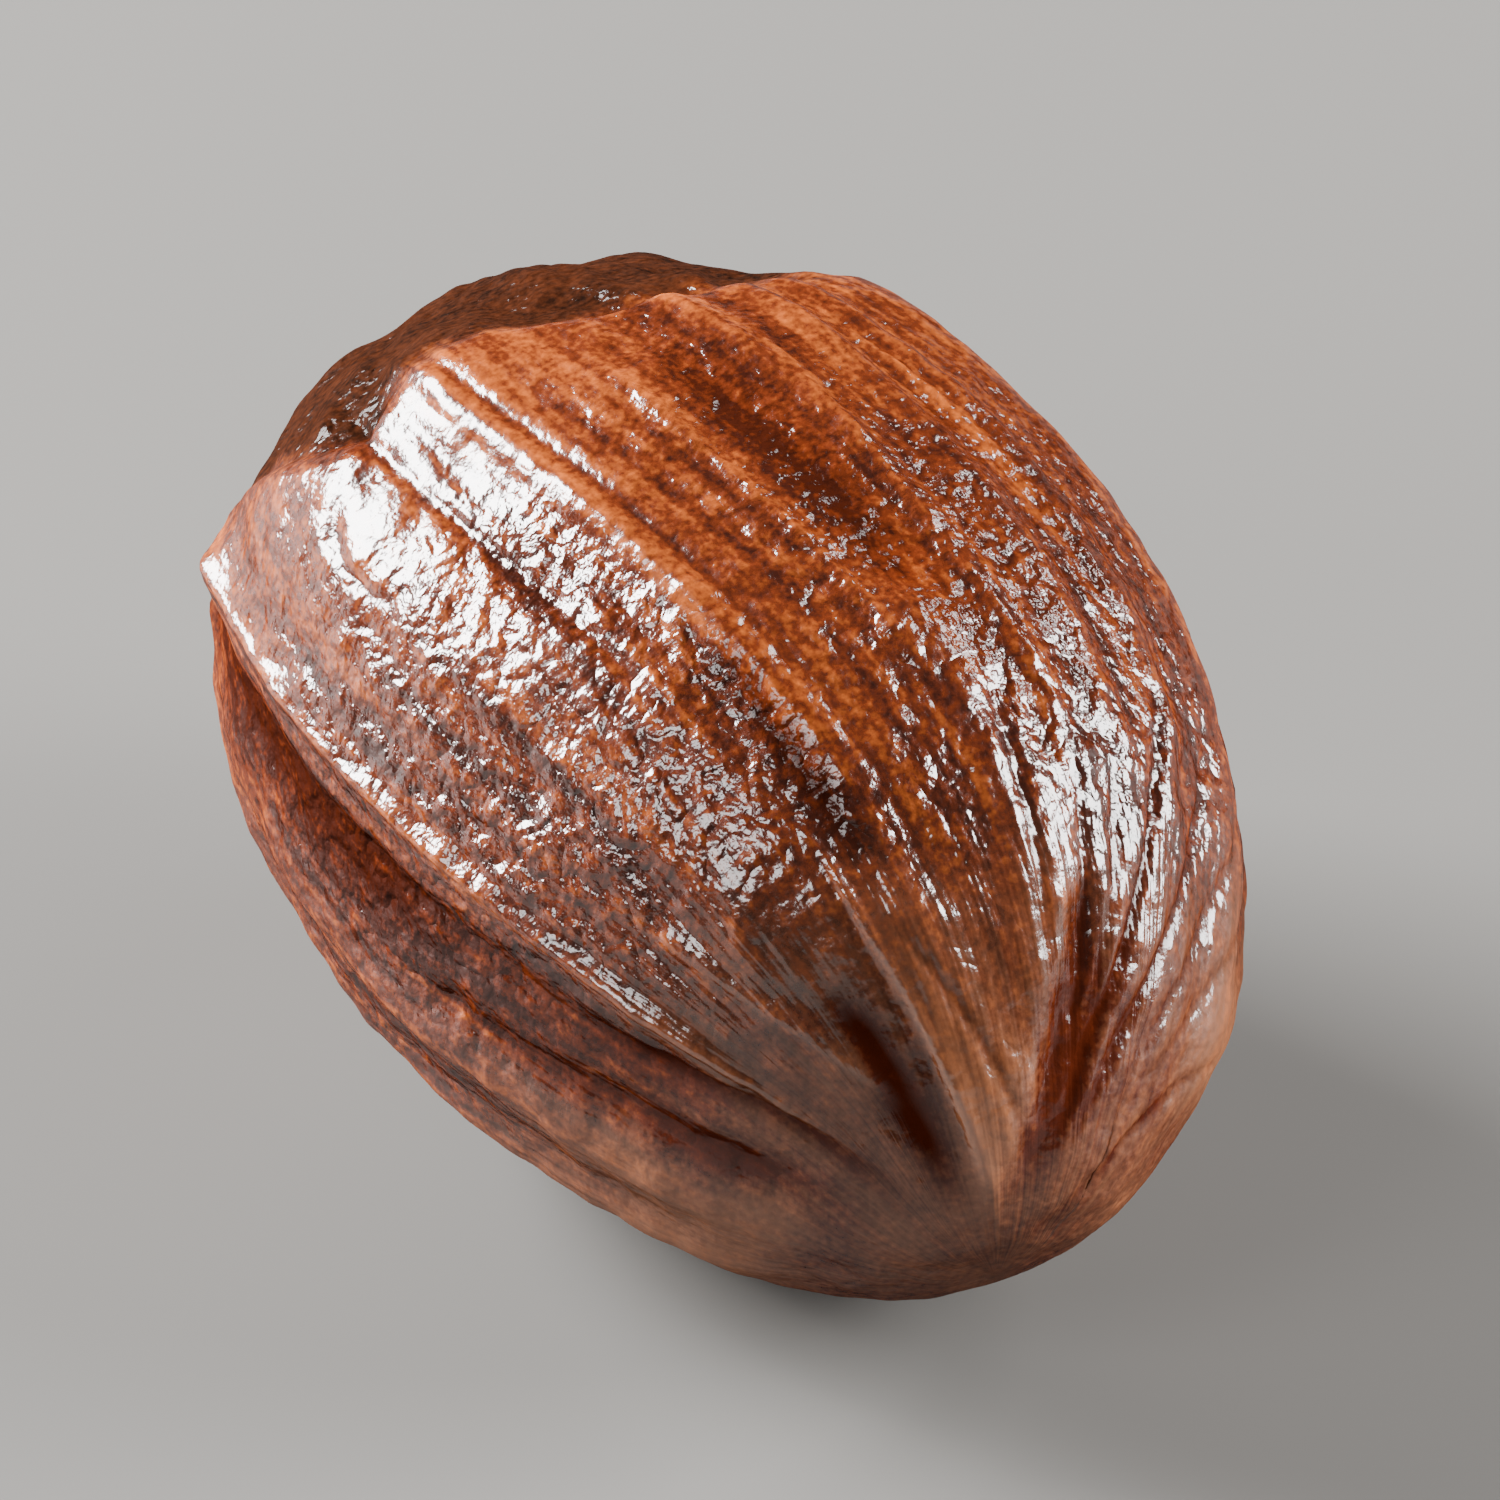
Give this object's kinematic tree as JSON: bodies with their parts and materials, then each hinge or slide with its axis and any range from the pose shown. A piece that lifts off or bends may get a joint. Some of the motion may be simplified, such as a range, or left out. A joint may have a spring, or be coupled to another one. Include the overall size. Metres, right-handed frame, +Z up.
{
  "type": "whole nutmeg",
  "caption": "Whole nutmeg in its hard shell: an oval seed with branching lengthwise ridges, a raised seam, a scalloped rim round the blunt end and a soft point at the other, lying on its side.",
  "frame": {"origin": "middle of the outline, on the surface that the nutmeg rests on", "axes": "+X along the long axis towards the pointed end, +Z up"},
  "size_m": [0.0316, 0.0218, 0.0213],
  "materials": {
    "shell": "hard woody seed shell, naturally polished, red-brown with orange-brown ridge crests and dark furrows"
  },
  "bodies": {
    "root": {"nutmeg": "shell"}
  },
  "joints": []
}
